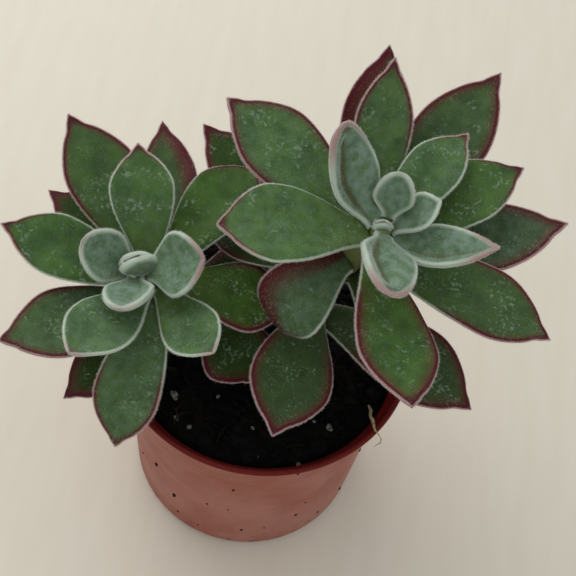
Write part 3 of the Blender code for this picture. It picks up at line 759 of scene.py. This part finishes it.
def leaf_finish(name, sheen, sheen_tint):
    """Skin of a leaf: mottled green, yellower at its foot, frosted by down, with a red margin and a pale rim that is
    partly pale down and partly painted sheen; its crease and its older, lower leaves are darkened partly by painted
    shade.
    """
    made, tree, shader = new_finish(name, Sheen_Weight=sheen, Sheen_Roughness=0.35, Sheen_Tint=sheen_tint,
                                    Specular_IOR_Level=0.2)
    place = place_in(tree)
    rim, along, frost, blush, old_and_shaded = (read_mark(tree, m) for m in ("rim", "along", "frost", "blush", "old_and_shaded"))
    upper, groove = read_mark(tree, "upper"), read_mark(tree, "groove")
    ragged = reckon(tree, "MULTIPLY", reckon(tree, "SUBTRACT", grain(tree, place, 0.8), 0.5), 1.1)
    rim_here = reckon(tree, "ADD", rim, ragged)
    rim_slow = reckon(tree, "ADD", rim, reckon(tree, "MULTIPLY", ragged, 0.35))

    mottle = ramp(tree, grain(tree, place, 5.0, 4.0), 0.3, 0.7)
    colour = layer(tree, mottle, (0.026, 0.072, 0.006), (0.056, 0.128, 0.013))
    colour = layer(tree, ramp(tree, along, 0.5, 0.02, 0.6), colour, (0.080, 0.135, 0.008))
    # Older, lower leaves are darker: partly their age and partly painted shade from the leaves above.
    colour = layer(tree, reckon(tree, "MULTIPLY", old_and_shaded, 0.7), colour, (0.020, 0.036, 0.007))
    veil = reckon(tree, "ADD", 0.35, ramp(tree, grain(tree, place, 2.2, 5.0), 0.3, 0.7, 0.65))
    colour = layer(tree, reckon(tree, "MULTIPLY", veil, frost), colour, (0.185, 0.275, 0.205))
    streaky = reckon(tree, "MULTIPLY", patches(tree, 0.9, 0.52, 0.64), patches(tree, 5.5, 0.5, 0.62))
    colour = layer(tree, reckon(tree, "MULTIPLY", streaky, 0.65), colour, (0.21, 0.29, 0.20))
    # The fold is greener or red-brown and darker than the frost round it: partly its own tone and partly painted shade
    # in the crease.
    crease_tint_and_shade = layer(tree, blush, (0.07, 0.13, 0.04), (0.14, 0.035, 0.015))
    colour = layer(tree, ramp(tree, groove, 0.25, 0.8, 0.9), colour, crease_tint_and_shade)
    colour = layer(tree, ramp(tree, upper, 0.42, 0.12, 0.45), colour, (0.11, 0.15, 0.08))
    onset = ramp(tree, reckon(tree, "ADD", along, reckon(tree, "MULTIPLY", blush, 0.95)), 0.93, 1.2)
    spread = reckon(tree, "ADD", 1.8, reckon(tree, "MULTIPLY", reckon(tree, "POWER", blush, 3.0), 3.6))
    flush = ramp(tree, reckon(tree, "DIVIDE", rim_here, spread), 1.1, 0.1, 0.85)
    flush = reckon(tree, "MULTIPLY", flush, reckon(tree, "MULTIPLY", blush, onset))
    colour = layer(tree, flush, colour, (0.095, 0.012, 0.013))
    band = reckon(tree, "DIVIDE", rim_slow, reckon(tree, "ADD", 0.5, reckon(tree, "MULTIPLY", blush, 0.7)))
    margin = reckon(tree, "MULTIPLY", ramp(tree, band, 1.35, 0.8), onset)
    colour = layer(tree, reckon(tree, "MULTIPLY", margin, 0.95), colour, (0.075, 0.004, 0.010))
    point = reckon(tree, "MULTIPLY", ramp(tree, along, 0.9, 0.98), ramp(tree, blush, 0.0, 0.25))
    colour = layer(tree, point, colour, (0.065, 0.004, 0.010))
    # The pale rim is partly the pale down of the margin and partly painted sheen, widest on frosted leaves with rounded
    # rims.
    pale_down_and_sheen = layer(tree, reckon(tree, "MULTIPLY", margin, 0.8), (0.52, 0.60, 0.50), (0.42, 0.22, 0.22))
    rim_width = reckon(tree, "ADD", 0.2, reckon(tree, "MULTIPLY", frost, 0.75))
    down_and_sheen_rim_mask = ramp(tree, reckon(tree, "DIVIDE", rim_slow, rim_width), 1.7, 0.3, 0.85)
    colour = layer(tree, down_and_sheen_rim_mask, colour, pale_down_and_sheen)
    feed(tree, shader.inputs["Base Color"], colour)
    feed(tree, shader.inputs["Roughness"], reckon(tree, "ADD", 0.5, reckon(tree, "MULTIPLY", grain(tree, place, 3.0), 0.2)))
    pimples = reckon(tree, "ADD", grain(tree, place, 0.35, 2.0), reckon(tree, "MULTIPLY", grain(tree, place, 2.5), 1.5))
    feed(tree, shader.inputs["Normal"], bumped(tree, pimples, 0.09, 0.7))
    return made


leaf_skins = {
    "young_leaf": leaf_finish("young_skin", 0.9, (0.88, 0.97, 0.95, 1.0)),
    "grown_leaf": leaf_finish("grown_skin", 0.05, (0.8, 0.9, 0.8, 1.0)),
}
grids = {}
for rosette in ROSETTES:
    for order, leaf in enumerate(rosette.leaves, start=1):
        node = f"{rosette.side}_leaf_{order:02d}"
        points, marks, across, up, ahead = leaf_grid(rosette, leaf, 13.7 * order + len(rosette.side))
        faces = ring_faces(LEAF_STATIONS, LEAF_SIDES)
        skin = leaf_skins[node_slot[node]]
        blade = make_piece(f"{rosette.side}_blade_{order:02d}", points.reshape(-1, 3), faces, skin, node_slot[node], node)
        for name, values in marks.items():
            mark(blade, name, values)
        grids[node] = (leaf, points, across, up, ahead)

# The buds. The youngest leaves of each shoot, still closed over its tip: a pale plump hood that curls over the
# others, and tiny leaves at its foot, all grown together on the end of the stem.
BUD_CORE_HEIGHTS = (0.0, 1.3, 3.0, 4.2, 4.8)
BUD_CORE_RADII = (1.7, 2.1, 2.6, 1.9, 0.2)
BUD_CORE_RINGS = 24
BUD_CORE_SIDES = 24
BUD_LEAN = (0.4, -0.4, 1.0)
BUD_FOOT_LEVEL = 2.7
BUD_LEAF_SINK = 2.2
BUD_LEAVES = (
    Leaf(-3, -42, 3.2, 62, 118, 8.0, 11.0, 0, 1.0, 1.0, 1.0, 0.0, 0.0),
    Leaf(-1, 40, 2.6, 78, 112, 7.5, 10.0, 0, 1.0, 1.0, 1.0, 0.0, 0.0),
    Leaf(-2, 0, 3.0, 38, 74, 7.5, 6.5, 0, 1.0, 0.8, 1.0, 0.0, 0.0),
)


def make_bud(rosette, finish):
    """The closed leaves of a shoot round their core, as one piece."""
    foot, down, _ = stem_place(rosette, BUD_FOOT_LEVEL)
    rings = []
    for at in np.linspace(0, 1, BUD_CORE_RINGS):
        way = np.array(BUD_LEAN) * at - down * (1 - at)
        way /= np.linalg.norm(way)
        side = np.cross((0.0, 1.0, 0.0), way)
        side /= np.linalg.norm(side)
        other = np.cross(way, side)
        height, radius = (np.interp(at, np.linspace(0, 1, 5), row) for row in (BUD_CORE_HEIGHTS, BUD_CORE_RADII))
        size = 1 + (rosette.bud - 1) * at
        for i in range(BUD_CORE_SIDES):
            turn = math.tau * i / BUD_CORE_SIDES
            reach = radius * size * (math.cos(turn) * side + math.sin(turn) * other)
            rings.append(foot + way * height * rosette.bud + reach)
    points, faces = [np.array(rings)], ring_faces(BUD_CORE_RINGS, BUD_CORE_SIDES)
    plain = {"rim": 3.0, "along": 0.5, "upper": 1.0, "groove": 0.0, "frost": 1.0, "blush": 0.0, "old_and_shaded": 0.0}
    marks = {name: [np.full(len(rings), value)] for name, value in plain.items()}
    for order, leaf in enumerate(BUD_LEAVES):
        small = leaf._replace(length=leaf.length * rosette.bud, width=leaf.width * rosette.bud)
        leaf_points, leaf_marks, across, _, ahead = leaf_grid(rosette, small, 3.1 * order, -BUD_LEAF_SINK)
        shift = sum(len(part) for part in points)
        faces += [tuple(i + shift for i in face) for face in ring_faces(LEAF_STATIONS, LEAF_SIDES)]
        points.append(leaf_points.reshape(-1, 3))
        grids[f"{rosette.side}_bud_{order}"] = (small, leaf_points, across, None, ahead)
        for name, values in leaf_marks.items():
            marks[name].append(values)
    name = f"{rosette.side}_bud"
    bud = make_piece(f"{name}_hood", np.concatenate(points), faces, finish, "young_leaf", name)
    for label, values in marks.items():
        mark(bud, label, np.concatenate(values))


for rosette in ROSETTES:
    make_bud(rosette, leaf_skins["young_leaf"])

# The down. Soft white hairs on every leaf, grown from its skin: sparse on its faces, and thick along its margin,
# where they make a pale fringe. Each hair here is a slim closed spike.
HAIR_RADIUS = 0.026
UPPER_HAIRS = 0.25
PATCH_HAIRS = 5.5
FROST_HAIRS = 4.0
LOWER_HAIRS = 0.8
FRINGE_HAIRS = 12.0
HAIR_SINK = 0.06
HAIR_PATCH_SIZE = 4.5


def spikes(roots, ways, lengths):
    """Slim closed spikes from roots, along ways, in millimetres."""
    spare = np.where(np.abs(ways[:, 2:]) < 0.8, (0.0, 0.0, 1.0), (1.0, 0.0, 0.0))
    side = np.cross(ways, spare)
    side /= np.linalg.norm(side, axis=1)[:, None]
    other = np.cross(ways, side)
    foot = roots - HAIR_SINK * ways
    corners = [foot + HAIR_RADIUS * (math.cos(a) * side + math.sin(a) * other) for a in (0, math.tau / 3, math.tau * 2 / 3)]
    points = np.stack([*corners, roots + lengths[:, None] * ways], 1).reshape(-1, 3)
    first = 4 * np.arange(len(roots))[:, None, None]
    faces = (first + np.array([[0, 2, 1], [0, 1, 3], [1, 2, 3], [2, 0, 3]])).reshape(-1, 3)
    return points, faces


def face_hairs(leaf, points, ahead, draw):
    """Hairs on both faces of a blade, by area, thicker in matted patches, leaning towards its point."""
    a, b = points[:-1], points[1:]
    a_next, b_next = np.roll(a, -1, 1), np.roll(b, -1, 1)
    normal = np.cross(a_next - a, b - a)
    area = np.linalg.norm(normal, axis=2)
    normal = -normal / np.maximum(area, 1e-9)[..., None]
    wanted = np.full(area.shape, LOWER_HAIRS)
    for row in range(LEAF_STATIONS - 1):
        for column in range(UPPER_SIDES):
            matted = noise.noise(Vector(a[row, column] / HAIR_PATCH_SIZE)) * 1.6 - 0.25
            wanted[row, column] = UPPER_HAIRS + PATCH_HAIRS * max(matted, 0.0) + FROST_HAIRS * leaf.frost
    wanted *= area
    wanted[: LEAF_STATIONS // 12] = 0
    count = int(wanted.sum())
    cell = draw.choice(wanted.size, count, p=(wanted / wanted.sum()).ravel())
    row, column = np.unravel_index(cell, wanted.shape)
    u, v = draw.uniform(size=(2, count, 1))
    roots = (a[row, column] * (1 - u) + a_next[row, column] * u) * (1 - v)
    roots += (b[row, column] * (1 - u) + b_next[row, column] * u) * v
    outward = normal[row, column]
    outward = outward * (1 if leaf_faces_out(points, normal) else -1)
    ways = outward + 0.45 * ahead[row] + draw.normal(0, 0.3, (count, 3))
    ways /= np.linalg.norm(ways, axis=1)[:, None]
    return roots, ways, draw.uniform(0.35, 0.75, count)


def leaf_faces_out(points, normal):
    """Whether the normals point away from the blade's middle line."""
    middle = points.mean(1, keepdims=True)
    return ((points[:-1] - middle[:-1]) * normal).sum() > 0


def fringe_hairs(leaf, points, across, ahead, draw):
    """Hairs along both edges of a blade and round its point."""
    roots, ways = [], []
    for column, sign in ((0, 1.0), (UPPER_SIDES, -1.0)):
        edge = points[:, column]
        steps = np.linalg.norm(np.diff(edge, axis=0), axis=1)
        count = int(steps.sum() * FRINGE_HAIRS)
        row = draw.choice(len(steps), count, p=steps / steps.sum())
        share = draw.uniform(size=(count, 1))
        roots.append(edge[row] * (1 - share) + edge[row + 1] * share)
        forward = (edge[row + 1] - edge[row]) / steps[row][:, None]
        out = sign * across[row] + 0.25 * forward + draw.normal(0, 0.32, (count, 3))
        ways.append(out / np.linalg.norm(out, axis=1)[:, None])
    roots, ways = np.concatenate(roots), np.concatenate(ways)
    return roots, ways, draw.uniform(0.25, 0.55, len(roots))


def hair_finish(name, dull, bright):
    """Down: pale dry hairs, whiter in some tufts than in others."""
    made, tree, shader = new_finish(name, Specular_IOR_Level=0.3)
    feed(tree, shader.inputs["Base Color"], layer(tree, patches(tree, 2.0, 0.4, 0.6), dull, bright))
    dryness = reckon(tree, "MULTIPLY", grain(tree, place_in(tree), 1.0), 0.15)
    feed(tree, shader.inputs["Roughness"], reckon(tree, "ADD", 0.5, dryness))
    return made


hair_skin = hair_finish("down_hair", (0.54, 0.58, 0.49), (0.66, 0.70, 0.61))
fringe_skin = hair_finish("fringe_hair", (0.80, 0.74, 0.71), (0.92, 0.86, 0.83))
for rosette in ROSETTES:
    hair_draw = np.random.default_rng(3 + len(rosette.side))
    down, fringe = [], []
    for node, (leaf, points, across, up, ahead) in grids.items():
        if node.startswith(rosette.side):
            down.append(spikes(*face_hairs(leaf, points, ahead, hair_draw)))
            fringe.append(spikes(*fringe_hairs(leaf, points, across, ahead, hair_draw)))
    make_piece(f"{rosette.side}_down", *gathered(down), hair_skin, "young_leaf")
    make_piece(f"{rosette.side}_fringe", *gathered(fringe), fringe_skin, "grown_leaf")

# The floor, the light and the camera. A plain cream surface under a wide soft window of light from behind and above.
FLOOR_SIZE = 3.0
CAMERA_ELEVATION = 58.5
CAMERA_ROLL = 11.1
CAMERA_DISTANCE = 436.0
CAMERA_TARGET = (4.2, 62.9, 0.0)
CAMERA_LENS = 75.0

bpy.ops.mesh.primitive_plane_add(size=FLOOR_SIZE)
floor = bpy.context.object
floor.name = "floor"
floor_skin, floor_tree, floor_shader = new_finish("cream_floor", Roughness=0.6)
floor_streaks = grain(floor_tree, place_in(floor_tree), 14.0, 4.0, (0.35, 2.2, 1.0))
floor_colour = layer(floor_tree, floor_streaks, (0.70, 0.64, 0.53), (0.76, 0.71, 0.61))
feed(floor_tree, floor_shader.inputs["Base Color"], floor_colour)
floor.data.materials.append(floor_skin)


def add_light(name, place, target, size, power, colour):
    """A wide soft lamp that faces a target."""
    lamp = bpy.data.lights.new(name, "AREA")
    lamp.shape = "DISK"
    lamp.size = size
    lamp.energy = power
    lamp.color = colour
    holder = bpy.data.objects.new(name, lamp)
    holder.location = place
    holder.rotation_euler = (Vector(target) - Vector(place)).to_track_quat("-Z", "Y").to_euler()
    bpy.context.scene.collection.objects.link(holder)


add_light("window", (-0.34, 0.36, 0.58), (0.0, 0.0, 0.08), 0.7, 2.3, (1.0, 0.99, 0.97))
sky = bpy.data.worlds.new("room")
sky.use_nodes = True
sky.node_tree.nodes["Background"].inputs["Color"].default_value = (0.98, 1.0, 1.0, 1.0)
sky.node_tree.nodes["Background"].inputs["Strength"].default_value = 0.68
bpy.context.scene.world = sky
bpy.context.scene.view_settings.view_transform = "Standard"

elevation, roll = math.radians(CAMERA_ELEVATION), math.radians(CAMERA_ROLL)
looking = Vector((0.0, math.cos(elevation), -math.sin(elevation)))
level_right = Vector((1.0, 0.0, 0.0))
level_up = level_right.cross(looking)
camera_right = math.cos(roll) * level_right + math.sin(roll) * level_up
camera_up = math.cos(roll) * level_up - math.sin(roll) * level_right
camera_data = bpy.data.cameras.new("camera")
camera_data.lens = CAMERA_LENS
camera_data.sensor_width = 36.0
camera = bpy.data.objects.new("camera", camera_data)
camera.matrix_world = Matrix.Translation((Vector(CAMERA_TARGET) - CAMERA_DISTANCE * looking) * MM) @ Matrix(
    (camera_right, camera_up, -looking)).transposed().to_4x4()
bpy.context.scene.collection.objects.link(camera)
bpy.context.scene.camera = camera
